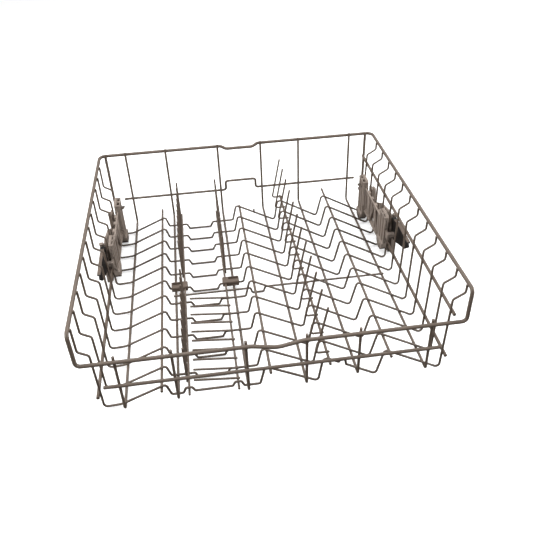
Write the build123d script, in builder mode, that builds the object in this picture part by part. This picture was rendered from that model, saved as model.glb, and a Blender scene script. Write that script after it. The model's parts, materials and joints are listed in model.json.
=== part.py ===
"""Upper dishwasher basket: welded coated wire, two folding tine combs and a height adjuster on each side.

Millimetres. X runs left to right, Y front to back and Z up. The origin lies on the table, under the
middle of the rim.
"""

import math
import os

from build123d import *

os.makedirs("parts", exist_ok=True)

# Wire diameters, over the coating
rim_wire = 5.5
rail_wire = 4.6
long_wire = 3.4
cross_wire = 3.0
tine_wire = 3.0

# Fits: how deep crossed wires melt into each other, and how far moving or seated pieces stay apart
weld_depth = 0.1
comb_weld = 0.4
running_gap = 0.3
seat_gap = 0.2

# Rim: half its depth, heights of its middle over the table, bends, and the dip in its long runs
rim_half_depth = 256.8
rim_height = 153.0
front_rim_height = 97.0
rim_bend = 12.0
front_rim_bend = 7.0
dip_depth = 6.5
dip_middle = 1.0
dip_half_width = 26.0
dip_run_out = 10.5
front_dip_half_width = 4.0
front_dip_run_out = 32.0

# Cross wires: how they are spaced along the basket, evenly but for a shorter last gap at the front
cross_count = 12
back_cross_inset = 49.1
front_cross_inset = 11.0
front_gap_share = 0.888
cross_end_proud = 1.0

# Cross wires: widths and heights of the walls, steps and floor
cross_half_span = 265.0
left_wall_inset = 15.7
left_step_top = 113.0
left_step_foot = 104.4
left_floor = 3.0
left_floor_run = 25.3
left_floor_inner_z = 4.5
right_wall_inset = 19.6
right_floor = -1.1
right_step_foot = 130.2
right_step_top = 140.3
step_lean = 0.6

# Cross wires: seats for the comb shafts, the trough between them, and the ridges
seat_z = 12.0
seat_1_left = -152.2
seat_1_right = -118.3
trough_left = -111.8
trough_right = -71.0
seat_2_left = -64.5
seat_2_right = -24.3
ridge_1_x = -158.6
ridge_1_z = 32.8
ridge_2_x = -16.3
ridge_2_z = 44.9
valley_2_x = 60.8
ridge_3_x = 68.1
ridge_3_z = 49.5
valley_3_x = 147.7
valley_z = 2.8
ridge_4_x = 158.4
ridge_4_z = 49.0

# Bend radii of the cross wires
step_bend = 4.5
floor_bend = 5.0
ridge_bend = 5.0
wide_ridge_bend = 8.0

# Front cross wire: humps that keep the front comb shafts down, and a notch on the third slope
hump_z = 21.0
hump_half_width = 4.5
hump_run_out = 4.0
front_trough_z = 13.6
notch_left = 91.0
notch_width = 11.0
notch_rise = 3.5

# Lengthwise wires: places across the basket, from the walls for the outer two, and their tips above the rim
left_long_inset = 29.5
left_seat_long_x = -143.1
right_seat_long_x = -41.9
second_slope_long_x = 42.7
third_slope_long_x = 118.4
right_long_inset = 24.1
long_bend = 5.0
back_tip = 5.0
front_tip = 6.5

# Ridge wires: place across, lead behind the first cross wire, and how far they stand out in front
left_ridge_x = -165.0
middle_ridge_x = -9.0
right_ridge_x = 167.0
side_ridge_lead = 41.3
middle_ridge_lead = 10.3
ridge_overhang = 7.0

# Rails round the basket
front_rail_z = 52.0
front_rail_left_inset = 24.0
front_rail_right_inset = 28.0
rear_rail_z = 56.0
rear_rail_rise = 19.7
rear_rail_inset = 28.0
rear_step_left = -31.0
rear_step_right = 30.0
side_rail_z = 29.0
side_rail_spike = 1.2
upper_rail_z = 108.0
corner_tip = 4.5
corner_tail = 4.0

# Wire across the middle of the floor, with a dip for the spray arm
middle_left = -147.0
middle_overhang = 2.7
middle_dip_left = -14.0
middle_dip_right = 12.0
middle_dip_slant = 3.0

# Tine rows
row_1_x = -127.0
row_2_x = -56.0
comb_tail = 3.0
back_comb_lead = 34.3
back_tine_lead = 30.3
back_comb_gap = 1.1
back_tine_count = 11
back_tine_length = 76.0
front_comb_inset = 1.0
front_comb_overhang = 9.0
front_tine_share_1 = 0.9
front_tine_share_2 = 1.15
front_tine_count = 10
front_tine_length = 64.0
folded_lean = 84.0
row_3_x = 77.0
row_3_lead = 29.3
row_3_foot_right = 80.5
row_3_foot_left = 60.3
row_3_tip_x = 76.5
row_3_tip_z = 127.0

# Small stub on the back cross wire
stub_x = 19.4
stub_height = 7.0

# Shaft clips on the sixth cross wire
clip_cross_count = 6
clip_1_left = -150.0
clip_2_right = -32.0
clip_past_shaft = 5.2
clip_half_depth = 8.0
clip_height = 9.0
clip_wall = 3.2
clip_slot_length = 13.0
clip_slot_gap = 1.2
clip_slot_width = 3.6
clip_slot_depth = 3.0

# Height adjusters: columns and web of the inner plate, along Y and Z
plate_thickness = 4.0
column_width = 32.0
rear_column_depth = 6.0
rear_column_foot = 1.0
rear_column_top = 92.0
front_column_depth = 3.0
front_column_foot = 19.0
front_column_top = 95.0
front_column_shift = 12.0
web_top = 78.0
web_foot = 24.0
column_rib = 4.5
shoe_height = 17.0
shoe_depth = 2.5
column_foot_cut = 9.0
plate_chamfer = 3.0
web_slot_width = 7.0
web_slot_height = 26.0
web_slot_pitch = 24.0

# Height adjusters: outer guide with its dovetail bars
guide_thickness = 3.6
guide_foot = 4.0
guide_top = 68.0
guide_half_width = 10.0
guide_web_foot = 18.0
guide_web_top = 36.0
guide_knee_lead = 53.0
guide_knee_z = 74.0
guide_arm_top = 84.0
tab_inset = 6.0
tab_width = 9.0
tab_top = 79.0
tongue_depth = 4.4
tongue_half_neck = 4.0
tongue_half_head = 6.0
boss_width = 10.0
boss_z = 45.0

# Height adjusters: carrier that slides on the bars and holds the runner
carrier_height = 24.0
carrier_half_width = 13.0
carrier_thickness = 6.4
carrier_bridge_height = 18.0
carrier_bridge_thickness = 4.0
runner_pin_diameter = 8.0
runner_pin_length = 5.5
rack_width = 8.0
rack_end = 5.0
rack_notch_count = 3
rack_notch_pitch = 20.0
rack_notch_depth = 3.0
rack_notch_height = 8.0
rack_notch_floor = 4.0

# Height adjusters: release lever in front of the guide
pivot_lead = 7.7
pivot_z = 58.0
pivot_boss = 12.0
peg_diameter = 5.0
peg_head_diameter = 9.0
peg_head_height = 1.6
lever_thickness = 3.2
lever_reach = 73.0
lever_crown_lead = 10.0
lever_crown_z = 88.0
lever_end_top = 86.0
lever_end_cut = 6.0
lever_end_slant = 16.0
lever_end_foot = 66.5
lever_heel_foot = 48.0
lever_lip = 2.6
finger_top = 84.0
finger_width = 9.0
finger_depth = 7.6
tooth_height = 5.0
tooth_tip = 2.0

# Wire sections with the area of the round wire, per radius: corner radius and half the width over flats
HEX_CORNER = math.sqrt(2 * math.pi / (6 * math.sin(math.pi / 3)))
HEX_FLAT = HEX_CORNER * math.cos(math.pi / 6)
OCT_CORNER = math.sqrt(2 * math.pi / (8 * math.sin(math.pi / 4)))
OCT_FLAT = OCT_CORNER * math.cos(math.pi / 8)
OCT_TURN = 180 / 8


def half(wire):
    """Distance from the middle of a wire to its flat."""
    return wire / 2 * HEX_FLAT


def keep(piece, name):
    """Label a finished piece and write it."""
    piece.label = name
    export_step(piece, f"parts/{name}.step")


def eased(corners):
    """Points of a bent wire: each (x, y, z, radius) corner becomes two mitres round an arc of that radius."""
    points = [Vector(*corner[:3]) for corner in corners]
    path = [points[0]]
    for before, corner, after, (*_, radius) in zip(points, points[1:], points[2:], corners[1:]):
        if radius == 0:
            path.append(corner)
            continue
        turn = math.radians(180 - (before - corner).get_angle(after - corner))
        cut = radius * (math.tan(turn / 2) - math.tan(turn / 4))
        path.append(corner + (before - corner).normalized() * cut)
        path.append(corner + (after - corner).normalized() * cut)
    return path + [points[-1]]


def bent_wire(path, diameter, across):
    """Six-sided wire along points, two corners of its section pointing along the across direction."""
    with BuildPart() as wire:
        with BuildLine() as route:
            Polyline(*path)
        with BuildSketch(Plane(origin=path[0], x_dir=across, z_dir=route.line % 0)):
            RegularPolygon(diameter / 2 * HEX_CORNER, 6)
        sweep(transition=Transition.RIGHT)
    return wire.part


# Places that follow from the sizes above

first_cross_y = rim_half_depth - back_cross_inset
last_cross_y = front_cross_inset - rim_half_depth
cross_pitch = (first_cross_y - last_cross_y) / (cross_count - 2 + front_gap_share)
tine_pitch = cross_pitch / 2
cross_y = [first_cross_y - cross_pitch * place for place in range(cross_count - 1)]
cross_y.append(last_cross_y)
clip_y = cross_y[clip_cross_count - 1]
rear_column_y = (cross_y[0] + cross_y[1]) / 2
front_column_y = (cross_y[3] + cross_y[4]) / 2
pivot_y = (cross_y[4] + cross_y[5]) / 2 + pivot_lead
trough_z = half(cross_wire)
rim_half = rim_wire / 2 * OCT_FLAT
rim_x = cross_half_span + half(cross_wire) + rim_half - weld_depth
upright_y = rim_half_depth - rim_half - half(long_wire) + weld_depth
wire_front_end = cross_y[-1] - ridge_overhang
left_wall_foot = cross_half_span - left_wall_inset
right_wall_foot = cross_half_span - right_wall_inset
left_wall_top = cross_half_span - (left_step_top - left_step_foot) / step_lean
right_wall_top = cross_half_span - (right_step_top - right_step_foot) / step_lean


def floor_corners():
    """Corners (x, z, radius) of the cross-wire floor from the left wall to the right wall."""
    return [
        (-left_wall_foot, left_floor, floor_bend),
        (left_floor_run - left_wall_foot, left_floor_inner_z, 0),
        (ridge_1_x, ridge_1_z, ridge_bend),
        (seat_1_left, seat_z, 0),
        (seat_1_right, seat_z, 0),
        (trough_left, trough_z, 0),
        (trough_right, trough_z, 0),
        (seat_2_left, seat_z, 0),
        (seat_2_right, seat_z, 0),
        (ridge_2_x, ridge_2_z, ridge_bend),
        (valley_2_x, valley_z, floor_bend),
        (ridge_3_x, ridge_3_z, wide_ridge_bend),
        (valley_3_x, valley_z, floor_bend),
        (ridge_4_x, ridge_4_z, ridge_bend),
        (right_wall_foot, right_floor, floor_bend),
    ]


def front_floor_corners():
    """Floor of the front cross wire, with a hump over each comb shaft and the notch on the third slope."""
    corners = []
    for corner in floor_corners():
        if corner[0] in (seat_1_right, trough_left, trough_right, seat_2_left):
            continue
        corners.append(corner)
        if corner[0] == seat_1_left:
            for shaft_x, foot_left, foot_right in (
                (row_1_x, seat_z, front_trough_z),
                (row_2_x, front_trough_z, seat_z),
            ):
                corners.append((shaft_x - hump_half_width - hump_run_out, foot_left, 0))
                corners.append((shaft_x - hump_half_width, hump_z, 0))
                corners.append((shaft_x + hump_half_width, hump_z, 0))
                corners.append((shaft_x + hump_half_width + hump_run_out, foot_right, 0))
        if corner[0] == ridge_3_x:
            left_z = floor_at(notch_left)[0]
            right_z = floor_at(notch_left + notch_width)[0]
            corners.append((notch_left, left_z, 0))
            corners.append((notch_left + notch_rise / 2, left_z + notch_rise, 0))
            corners.append((notch_left + notch_width - notch_rise / 2, left_z + notch_rise, 0))
            corners.append((notch_left + notch_width, right_z, 0))
    return corners


def floor_at(x):
    """Height and slope of the cross-wire floor at x."""
    corners = floor_corners()
    for (x0, z0, _), (x1, z1, _) in zip(corners, corners[1:]):
        if x0 <= x <= x1:
            slope = (z1 - z0) / (x1 - x0)
            return z0 + slope * (x - x0), slope
    raise ValueError(f"no floor at x = {x}")


def wall_at(side, z):
    """Distance of a cross-wire wall from the middle plane at height z, below its step."""
    if side < 0:
        share = (z - left_floor) / (left_step_foot - left_floor)
        return left_wall_foot + (left_wall_top - left_wall_foot) * share
    share = (z - right_floor) / (right_step_foot - right_floor)
    return right_wall_foot + (right_wall_top - right_wall_foot) * share


def under(x, wire):
    """Height of a lengthwise wire that is welded under the cross wires at x."""
    z, slope = floor_at(x)
    tilt = abs(math.atan(slope))
    reach = half(cross_wire) + wire / 2 * HEX_CORNER * math.cos(math.pi / 6 - tilt) - weld_depth
    return z - reach / math.cos(tilt)


def side_rail_x(side, z):
    """Distance of a rail from the middle plane where it is welded outside a side wall."""
    return wall_at(side, z) + half(cross_wire) + half(rail_wire) - weld_depth


# Rim: two halves that meet in the dips at the back and front

with BuildPart() as rim:
    for side in (-1, 1):
        back_corner = dip_middle + side * dip_half_width
        back_shoulder = back_corner + side * dip_run_out
        front_corner = dip_middle + side * front_dip_half_width
        front_shoulder = front_corner + side * front_dip_run_out
        rim_path = eased(
            [
                (dip_middle, rim_half_depth, rim_height - dip_depth, 0),
                (back_corner, rim_half_depth, rim_height - dip_depth, 0),
                (back_shoulder, rim_half_depth, rim_height, 0),
                (side * rim_x, rim_half_depth, rim_height, rim_bend),
                (side * rim_x, -rim_half_depth, rim_height, front_rim_bend),
                (side * rim_x, -rim_half_depth, front_rim_height, front_rim_bend),
                (front_shoulder, -rim_half_depth, front_rim_height, 0),
                (front_corner, -rim_half_depth, front_rim_height - dip_depth, 0),
                (dip_middle, -rim_half_depth, front_rim_height - dip_depth, 0),
            ]
        )
        with BuildLine() as rim_route:
            Polyline(*rim_path)
        with BuildSketch(Plane(origin=rim_path[0], x_dir=(0, 0, 1), z_dir=rim_route.line % 0)):
            RegularPolygon(rim_wire / 2 * OCT_CORNER, 8, rotation=OCT_TURN)
        sweep(transition=Transition.RIGHT)
keep(rim.part, "top_rim")

# Cross wires: side to side, down both walls and over the floor

for number, y in enumerate(cross_y, start=1):
    floor = front_floor_corners() if number == cross_count else floor_corners()
    outline = [
        (-cross_half_span, rim_height + cross_end_proud, 0),
        (-cross_half_span, left_step_top, step_bend),
        (-left_wall_top, left_step_foot, step_bend),
        *floor,
        (right_wall_top, right_step_foot, step_bend),
        (cross_half_span, right_step_top, step_bend),
        (cross_half_span, rim_height + cross_end_proud, 0),
    ]
    cross_path = eased([(x, y, z, radius) for x, z, radius in outline])
    cross = bent_wire(cross_path, cross_wire, (0, 1, 0))
    if number == 1:
        stub_foot = floor_at(stub_x)[0]
        with BuildPart() as stubbed:
            add(cross)
            with BuildSketch(Plane((stub_x, y, stub_foot))):
                RegularPolygon(cross_wire / 2, 6)
            extrude(amount=stub_height)
        cross = stubbed.part
    keep(cross, f"cross_wire_{number:02d}")

# Lengthwise wires: down the back, along the floor and up the front inside the rim

long_places = {
    "b": left_long_inset - left_wall_foot,
    "c": left_seat_long_x,
    "d": right_seat_long_x,
    "e": second_slope_long_x,
    "f": third_slope_long_x,
    "g": right_wall_foot - right_long_inset,
}
for letter, x in long_places.items():
    floor_z = under(x, long_wire)
    long_path = eased(
        [
            (x, upright_y, rim_height + back_tip, 0),
            (x, upright_y, floor_z, long_bend),
            (x, -upright_y, floor_z, 0),
            (x, -upright_y, front_rim_height + front_tip, 0),
        ]
    )
    keep(bent_wire(long_path, long_wire, (1, 0, 0)), f"long_wire_{letter}")

# Ridge wires: straight, under three of the four ridges

for place, x, lead in (
    ("left", left_ridge_x, side_ridge_lead),
    ("middle", middle_ridge_x, middle_ridge_lead),
    ("right", right_ridge_x, side_ridge_lead),
):
    ridge_z = under(x, long_wire)
    ridge_path = [Vector(x, first_cross_y + lead, ridge_z), Vector(x, wire_front_end, ridge_z)]
    keep(bent_wire(ridge_path, long_wire, (1, 0, 0)), f"ridge_wire_{place}")

# Rails: across the front and the back, outside the uprights

front_rail_y = -upright_y - half(long_wire) - half(rail_wire) + weld_depth
front_rail_path = [
    Vector(front_rail_left_inset - cross_half_span, front_rail_y, front_rail_z),
    Vector(cross_half_span - front_rail_right_inset, front_rail_y, front_rail_z),
]
keep(bent_wire(front_rail_path, rail_wire, (0, 0, 1)), "front_rail")

rear_rail_y = upright_y + 2 * half(long_wire) - weld_depth
rear_rail_half = cross_half_span - rear_rail_inset
rear_rail_path = [
    Vector(-rear_rail_half, rear_rail_y, rear_rail_z),
    Vector(rear_step_left, rear_rail_y, rear_rail_z),
    Vector(rear_step_left, rear_rail_y, rear_rail_z + rear_rail_rise),
    Vector(rear_step_right, rear_rail_y, rear_rail_z + rear_rail_rise),
    Vector(rear_step_right, rear_rail_y, rear_rail_z),
    Vector(rear_rail_half, rear_rail_y, rear_rail_z),
]
keep(bent_wire(rear_rail_path, long_wire, (0, 0, 1)), "rear_rail")

# Lower side rails outside both walls, and a straight corner wire from each up to the back rim

corner_y = rim_half_depth - rim_half - rail_wire / 2 * HEX_CORNER + weld_depth
for side, name in ((-1, "left"), (1, "right")):
    rail_x = side_rail_x(side, side_rail_z)
    rail_path = [
        Vector(side * rail_x, rim_half_depth + side_rail_spike, side_rail_z),
        Vector(side * rail_x, wire_front_end, side_rail_z),
    ]
    keep(bent_wire(rail_path, rail_wire, (0, 0, 1)), f"side_rail_{name}")
    corner_x = rail_x + 2 * half(rail_wire) - weld_depth
    corner_path = [
        Vector(side * corner_x, corner_y, rim_height + corner_tip),
        Vector(side * corner_x, corner_y, side_rail_z - corner_tail),
    ]
    keep(bent_wire(corner_path, rail_wire, (0, 1, 0)), f"corner_wire_{name}")

upper_rail_x = side_rail_x(1, upper_rail_z)
upper_rail_start = corner_y - rail_wire / 2 * HEX_CORNER - seat_gap
upper_rail_path = [
    Vector(upper_rail_x, upper_rail_start, upper_rail_z),
    Vector(upper_rail_x, wire_front_end, upper_rail_z),
]
keep(bent_wire(upper_rail_path, rail_wire, (0, 0, 1)), "upper_rail_right")

# Wire across the middle of the floor, on top of the lengthwise wires, dipping to the floor

middle_y = clip_y - cross_pitch / 2
middle_z = under(left_seat_long_x, long_wire) + half(long_wire) + half(cross_wire) - weld_depth
middle_path = [
    Vector(middle_left, middle_y, middle_z),
    Vector(middle_dip_left, middle_y, middle_z),
    Vector(middle_dip_left + middle_dip_slant, middle_y, trough_z),
    Vector(middle_dip_right - middle_dip_slant, middle_y, trough_z),
    Vector(middle_dip_right, middle_y, middle_z),
    Vector(long_places["g"] + middle_overhang, middle_y, middle_z),
]
keep(bent_wire(middle_path, cross_wire, (0, 1, 0)), "middle_wire")


# Tine combs: a shaft with tines welded to its side

def tine_comb(shaft_x, shaft_z, ends, fold, lean, first_y, count, length):
    """Comb of tines on a shaft along Y: fold is the side they fall to, lean how far they have turned."""
    lean_angle = math.radians(lean)
    up = Vector(fold * math.sin(lean_angle), 0, math.cos(lean_angle))
    aside = Vector(-fold * math.cos(lean_angle), 0, math.sin(lean_angle))
    start = aside * (2 * half(tine_wire) - comb_weld) - up * comb_tail
    with BuildPart() as comb:
        with BuildSketch(Plane(origin=(shaft_x, ends[0], shaft_z), x_dir=up, z_dir=(0, -1, 0))):
            RegularPolygon(tine_wire / 2 * HEX_CORNER, 6)
        extrude(amount=ends[0] - ends[1])
        for place in range(count):
            foot = Vector(shaft_x, first_y - tine_pitch * place, shaft_z) + start
            with BuildSketch(Plane(origin=foot, x_dir=(0, 1, 0), z_dir=up)):
                RegularPolygon(tine_wire / 2 * HEX_CORNER, 6)
            extrude(amount=length + comb_tail)
    return comb.part


shaft_corner = tine_wire / 2 * HEX_CORNER
welded_shaft_z = seat_z + half(cross_wire) + shaft_corner - weld_depth
turning_shaft_z = seat_z + half(cross_wire) + running_gap + shaft_corner
back_comb_ends = (first_cross_y + back_comb_lead, clip_y + clip_half_depth + back_comb_gap)
front_comb_ends = (clip_y + clip_half_depth - front_comb_inset, last_cross_y - front_comb_overhang)

for row, shaft_x, fold, lean, share in (
    (1, row_1_x, 1, 0.0, front_tine_share_1),
    (2, row_2_x, -1, folded_lean, front_tine_share_2),
):
    back_comb = tine_comb(
        shaft_x, welded_shaft_z, back_comb_ends, fold, 0.0,
        first_cross_y + back_tine_lead, back_tine_count, back_tine_length,
    )
    keep(back_comb, f"tine_row_{row}_back")
    front_comb = tine_comb(
        shaft_x, turning_shaft_z, front_comb_ends, fold, lean,
        clip_y - share * cross_pitch, front_tine_count, front_tine_length,
    )
    keep(front_comb, f"tine_row_{row}_front")

# Third tine row: a wire under the ridge with a leaning tine welded on top of it before each cross wire

row_3_z = under(row_3_x, long_wire)
row_3_foot_z = row_3_z + half(long_wire) + half(tine_wire) - comb_weld
with BuildPart() as row_3:
    row_3_path = [
        Vector(row_3_x, first_cross_y + row_3_lead, row_3_z),
        Vector(row_3_x, wire_front_end, row_3_z),
    ]
    add(bent_wire(row_3_path, long_wire, (1, 0, 0)))
    for place in range(cross_count):
        y = first_cross_y + cross_pitch / 2 - cross_pitch * place
        tine_path = [
            Vector(row_3_foot_right, y, row_3_foot_z),
            Vector(row_3_foot_left, y, row_3_foot_z),
            Vector(row_3_tip_x, y, row_3_tip_z),
        ]
        add(bent_wire(tine_path, tine_wire, (0, 1, 0)))
keep(row_3.part, "tine_row_3")

# Shaft clips: snapped over the sixth cross wire from above, with a bore for the front comb's shaft

clip_foot = seat_z - half(cross_wire) + seat_gap * 2
clip_bore = shaft_corner + running_gap
for row, shaft_x, left, right, slot_side in (
    (1, row_1_x, clip_1_left, row_1_x + clip_past_shaft, -1),
    (2, row_2_x, row_2_x - clip_past_shaft, clip_2_right, 1),
):
    front_plane = Plane(origin=(0, clip_y - clip_half_depth, 0), x_dir=(1, 0, 0), z_dir=(0, -1, 0))
    with BuildPart() as clip:
        with BuildSketch(front_plane):
            with Locations(((left + right) / 2, clip_foot + clip_height / 2)):
                Rectangle(right - left, clip_height)
            with Locations((shaft_x, turning_shaft_z)):
                RegularPolygon(clip_bore + clip_wall, 8, rotation=OCT_TURN)
            with Locations(((left + right) / 2, clip_foot - clip_height / 2)):
                Rectangle(right - left, clip_height, mode=Mode.SUBTRACT)
            with Locations((shaft_x, turning_shaft_z)):
                Circle(clip_bore, mode=Mode.SUBTRACT)
        extrude(amount=-2 * clip_half_depth)
        corner_edges = clip.edges().filter_by(Axis.Z).filter_by(lambda edge: edge.length > clip_height / 2)
        chamfer(corner_edges, clip_wall / 2)
        with BuildSketch(Plane.XY.offset(clip_foot)):
            with Locations(((left + right) / 2, clip_y)):
                Rectangle(2 * (right - left), cross_wire * HEX_CORNER + 2 * seat_gap)
        extrude(amount=seat_z + half(cross_wire) + seat_gap - clip_foot, mode=Mode.SUBTRACT)
        slot_x = shaft_x + slot_side * (clip_bore + clip_wall + clip_slot_gap + clip_slot_length / 2)
        with BuildSketch(Plane.XY.offset(clip_foot + clip_height - clip_slot_depth)):
            with Locations((slot_x, clip_y + clip_half_depth / 2)):
                Rectangle(clip_slot_length, clip_slot_width)
        extrude(amount=clip_slot_depth, mode=Mode.SUBTRACT)
    keep(clip.part, f"shaft_clip_{row}")


# Height adjusters: an inner plate and an outer guide that hold the side wall between them, a carrier that
# slides up and down on the guide, and a release lever on a peg in front

def slab(side, near, far):
    """Plane of a plate that lies along a side wall, and the amount to extrude it from near to far."""
    return Plane.YZ.offset(side * near), side * (far - near)


def column_outline(column_y, foot, top):
    """Outline of a column or shoe along the wall, with a cut foot."""
    half_width = column_width / 2
    return [
        (column_y - half_width, top),
        (column_y - half_width, foot + column_foot_cut),
        (column_y - half_width + column_foot_cut, foot),
        (column_y + half_width - column_foot_cut, foot),
        (column_y + half_width, foot + column_foot_cut),
        (column_y + half_width, top),
    ]


def inner_plate(side, inner, layer):
    """Inner plate: two ribbed columns on a web, bosses through the wall and the peg of the lever."""
    plate_front_y = front_column_y - front_column_shift
    columns = (
        (rear_column_y, rear_column_foot, rear_column_top, rear_column_depth),
        (plate_front_y, front_column_foot, front_column_top, front_column_depth),
    )
    web_middle = (rear_column_y + plate_front_y) / 2
    face = inner - plate_thickness
    with BuildPart() as plate:
        web_plane, web_amount = slab(side, face, inner)
        with BuildSketch(web_plane):
            for column_y, foot, top, _ in columns:
                outline = column_outline(column_y, foot, top - plate_chamfer)
                outline.append((column_y + column_width / 2 - plate_chamfer, top))
                outline.append((column_y - column_width / 2 + plate_chamfer, top))
                with BuildLine():
                    Polyline(*outline, close=True)
                make_face()
            with Locations((web_middle, (web_top + web_foot) / 2)):
                Rectangle(rear_column_y - plate_front_y, web_top - web_foot)
            with Locations(((plate_front_y + pivot_y) / 2, pivot_z)):
                Rectangle(plate_front_y - pivot_y + pivot_boss, pivot_boss)
        extrude(amount=web_amount)
        for column_y, foot, top, depth in columns:
            rib_foot = foot + column_foot_cut
            rib_height = top - plate_chamfer - rib_foot
            rib_step = (column_width - column_rib) / 2
            rib_plane, rib_amount = slab(side, face - depth, face)
            with BuildSketch(rib_plane):
                for edge in (-1, 0, 1):
                    with Locations((column_y + edge * rib_step, rib_foot + rib_height / 2)):
                        Rectangle(column_rib, rib_height)
            extrude(amount=rib_amount)
            shoe_plane, shoe_amount = slab(side, face - depth - shoe_depth, face)
            with BuildSketch(shoe_plane):
                with BuildLine():
                    Polyline(*column_outline(column_y, foot, foot + shoe_height), close=True)
                make_face()
            extrude(amount=shoe_amount)
        boss_plane, boss_amount = slab(side, inner, layer)
        with BuildSketch(boss_plane):
            with Locations((rear_column_y, boss_z), (front_column_y, boss_z)):
                Rectangle(boss_width, boss_width)
            with Locations((pivot_y, pivot_z)):
                RegularPolygon(pivot_boss / 2, 8)
        extrude(amount=boss_amount)
        lever_room = lever_thickness + 2 * running_gap
        peg_plane, peg_amount = slab(side, layer, layer + lever_room)
        with BuildSketch(peg_plane):
            with Locations((pivot_y, pivot_z)):
                Circle(peg_diameter / 2)
        extrude(amount=peg_amount)
        head_plane, head_amount = slab(side, layer + lever_room, layer + lever_room + peg_head_height)
        with BuildSketch(head_plane):
            with Locations((pivot_y, pivot_z)):
                RegularPolygon(peg_head_diameter / 2, 8)
        extrude(amount=head_amount)
        slot_plane, slot_amount = slab(side, face, inner)
        with BuildSketch(slot_plane):
            for share in (-1, 0, 1):
                with Locations((web_middle + share * web_slot_pitch, (web_top + web_foot) / 2)):
                    Rectangle(web_slot_width, web_slot_height)
        extrude(amount=slot_amount, mode=Mode.SUBTRACT)
    return plate.part


def outer_guide(side, layer):
    """Outer guide: two upright bars with dovetail tongues, a web with a sloping arm, and a finger tab."""
    tab_y = rear_column_y - column_width / 2 - tab_inset
    with BuildPart() as guide:
        base_plane, base_amount = slab(side, layer, layer + guide_thickness)
        with BuildSketch(base_plane):
            for column_y in (rear_column_y, front_column_y):
                with Locations((column_y, (guide_foot + guide_top) / 2)):
                    Rectangle(2 * guide_half_width, guide_top - guide_foot)
            with BuildLine():
                Polyline(
                    (front_column_y - guide_half_width, guide_web_foot),
                    (rear_column_y, guide_web_foot),
                    (rear_column_y, guide_web_top),
                    (front_column_y + guide_knee_lead, guide_knee_z),
                    (front_column_y + guide_half_width, guide_arm_top),
                    (front_column_y - guide_half_width, guide_arm_top),
                    close=True,
                )
            make_face()
            with BuildLine():
                Polyline(
                    (tab_y - tab_width / 2, guide_web_top),
                    (tab_y + tab_width / 2, guide_web_top),
                    (tab_y + tab_width / 2, tab_top),
                    (tab_y - tab_width / 4, tab_top),
                    (tab_y - tab_width / 2, tab_top - tab_width),
                    close=True,
                )
            make_face()
        extrude(amount=base_amount)
        with BuildSketch(Plane.XY.offset(guide_foot)):
            for column_y in (rear_column_y, front_column_y):
                neck_x = side * (layer + guide_thickness)
                head_x = side * (layer + guide_thickness + tongue_depth)
                with BuildLine():
                    Polyline(
                        (neck_x, column_y - tongue_half_neck),
                        (head_x, column_y - tongue_half_head),
                        (head_x, column_y + tongue_half_head),
                        (neck_x, column_y + tongue_half_neck),
                        close=True,
                    )
                make_face()
        extrude(amount=guide_top - guide_foot)
    return guide.part


def rail_carrier(side, layer):
    """Carrier: two shoes with dovetail grooves, a bridge, two runner pins and the rack for the tooth."""
    near = layer + guide_thickness + running_gap
    far = near + carrier_thickness
    middle_z = guide_foot + carrier_height / 2
    first_notch = finger_top - tooth_height / 2
    rack_top = first_notch + rack_end
    crest = front_column_y - carrier_half_width
    with BuildPart() as carrier:
        shoe_plane, shoe_amount = slab(side, near, far)
        with BuildSketch(shoe_plane):
            for column_y in (rear_column_y, front_column_y):
                with Locations((column_y, middle_z)):
                    Rectangle(2 * carrier_half_width, carrier_height)
            with Locations((crest + rack_width / 2, (guide_foot + rack_top) / 2)):
                Rectangle(rack_width, rack_top - guide_foot)
        extrude(amount=shoe_amount)
        bridge_plane, bridge_amount = slab(side, near, near + carrier_bridge_thickness)
        with BuildSketch(bridge_plane):
            with Locations(((rear_column_y + front_column_y) / 2, middle_z)):
                Rectangle(rear_column_y - front_column_y, carrier_bridge_height)
        extrude(amount=bridge_amount)
        with BuildSketch(Plane.XY):
            for column_y in (rear_column_y, front_column_y):
                neck_x = side * (near - running_gap)
                head_x = side * (near - running_gap + tongue_depth + running_gap)
                with BuildLine():
                    Polyline(
                        (neck_x, column_y - tongue_half_neck - running_gap),
                        (head_x, column_y - tongue_half_head - running_gap),
                        (head_x, column_y + tongue_half_head + running_gap),
                        (neck_x, column_y + tongue_half_neck + running_gap),
                        close=True,
                    )
                make_face()
        extrude(amount=rack_top, mode=Mode.SUBTRACT)
        notch_plane, notch_amount = slab(side, near, far)
        with BuildSketch(notch_plane):
            for step in range(rack_notch_count):
                notch_z = first_notch - step * rack_notch_pitch
                with BuildLine():
                    Polyline(
                        (crest, notch_z - rack_notch_height / 2),
                        (crest + rack_notch_depth, notch_z - rack_notch_floor / 2),
                        (crest + rack_notch_depth, notch_z + rack_notch_floor / 2),
                        (crest, notch_z + rack_notch_height / 2),
                        close=True,
                    )
                make_face()
        extrude(amount=notch_amount, mode=Mode.SUBTRACT)
        pin_plane, pin_amount = slab(side, far, far + runner_pin_length)
        with BuildSketch(pin_plane):
            with Locations((rear_column_y, middle_z), (front_column_y, middle_z)):
                Circle(runner_pin_diameter / 2)
        extrude(amount=pin_amount)
    return carrier.part


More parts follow.
